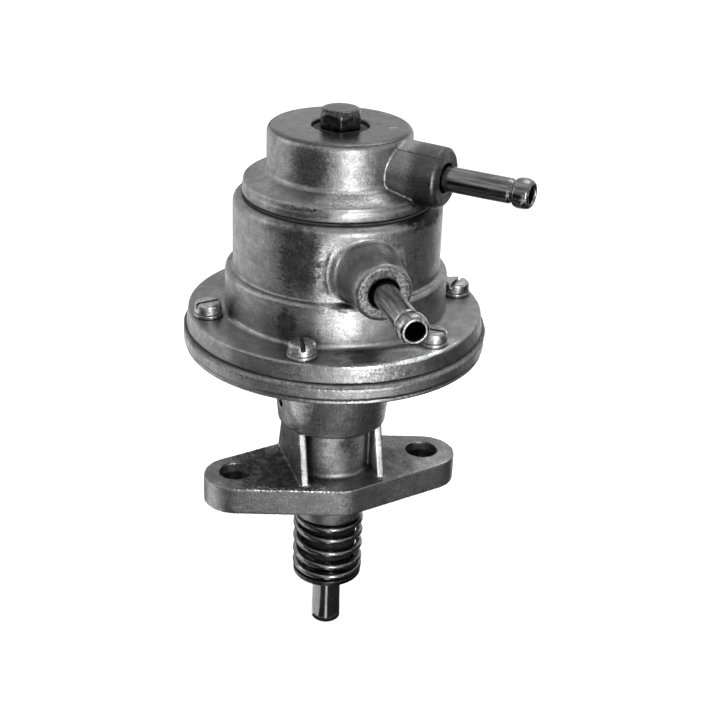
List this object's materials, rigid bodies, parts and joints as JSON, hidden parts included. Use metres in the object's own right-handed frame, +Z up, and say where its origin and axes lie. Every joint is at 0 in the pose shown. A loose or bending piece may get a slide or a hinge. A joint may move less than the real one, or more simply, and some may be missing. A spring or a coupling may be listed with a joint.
{
  "type": "mechanical fuel pump",
  "caption": "Plunger-driven diaphragm fuel pump with a bolted mounting flange, round clamped body, domed cover and two hose stubs.",
  "frame": {"origin": "centre of the mounting face, the underside of the mounting flange, on the pump's axis", "axes": "+Z up the pump's axis towards the cover, +X along the line of the two mounting holes"},
  "size_m": [0.079, 0.1008, 0.1498],
  "materials": {
    "casting": "die cast, satin, stained by oil and worn bright on its edges",
    "bronze": "machined bearing bronze",
    "black_plastic": "oily black plastic",
    "seal_rubber": "black rubber",
    "plated_steel": "zinc plated steel",
    "spring_steel": "oiled spring wire",
    "ground_steel": "ground and polished steel",
    "dark_steel": "blackened steel",
    "tube_steel": "drawn steel tube",
    "screw_steel": "worn zinc plated steel",
    "diaphragm_cloth": "rubber proofed cloth",
    "brass": "pressed brass",
    "gasket": "black gasket fibre"
  },
  "bodies": {
    "housing": {"lower_body": "casting", "upper_body": "casting", "top_cover": "casting", "guide_bush": "bronze", "nose_sleeve": "black_plastic", "rod_seal": "seal_rubber", "seal_retainer": "plated_steel", "delivery_spring": "spring_steel", "plunger_spring": "spring_steel", "diaphragm": "diaphragm_cloth", "outlet_stub": "tube_steel", "inlet_stub": "tube_steel", "inlet_valve_cage": "brass", "inlet_valve_spring": "brass", "outlet_valve_cage": "brass", "outlet_valve_spring": "brass", "flange_screws": "screw_steel", "screw_washers": "screw_steel", "strainer_frame": "brass", "strainer_gauze": "brass", "cover_gasket": "gasket", "bolt_washer": "gasket", "cover_bolt": "dark_steel"},
    "plunger_assembly": {"plunger": "ground_steel", "spring_seat": "dark_steel", "seat_clip": "dark_steel"},
    "diaphragm_assembly": {"diaphragm_rod": "plated_steel", "link_pin": "ground_steel", "lower_plate": "plated_steel", "upper_plate": "plated_steel", "diaphragm_nut": "plated_steel"},
    "inlet_valve": {"inlet_valve_disc": "seal_rubber"},
    "outlet_valve": {"outlet_valve_disc": "seal_rubber"}
  },
  "joints": [
    {"name": "plunger_stroke", "type": "slide", "parent": "housing", "child": "plunger_assembly", "axis": [0, 0, 1], "range_m": [0, 0.004], "stiffness_N_per_m": 2000, "springref_m": -0.008, "deforming": ["plunger_spring"]},
    {"name": "diaphragm_stroke", "type": "slide", "parent": "housing", "child": "diaphragm_assembly", "axis": [0, 0, 1], "range_m": [0, 0.004], "stiffness_N_per_m": 600, "springref_m": 0.006, "deforming": ["delivery_spring", "diaphragm"]},
    {"name": "inlet_valve_lift", "type": "slide", "parent": "housing", "child": "inlet_valve", "axis": [0, 0, -1], "range_m": [0, 0.0012], "stiffness_N_per_m": 50, "springref_m": -0.002, "deforming": ["inlet_valve_spring"]},
    {"name": "outlet_valve_lift", "type": "slide", "parent": "housing", "child": "outlet_valve", "axis": [0, 0, 1], "range_m": [0, 0.0012], "stiffness_N_per_m": 50, "springref_m": -0.002, "deforming": ["outlet_valve_spring"]}
  ],
  "couplings": [
    {"joint": "diaphragm_stroke", "follows": "plunger_stroke", "ratio": 1}
  ]
}
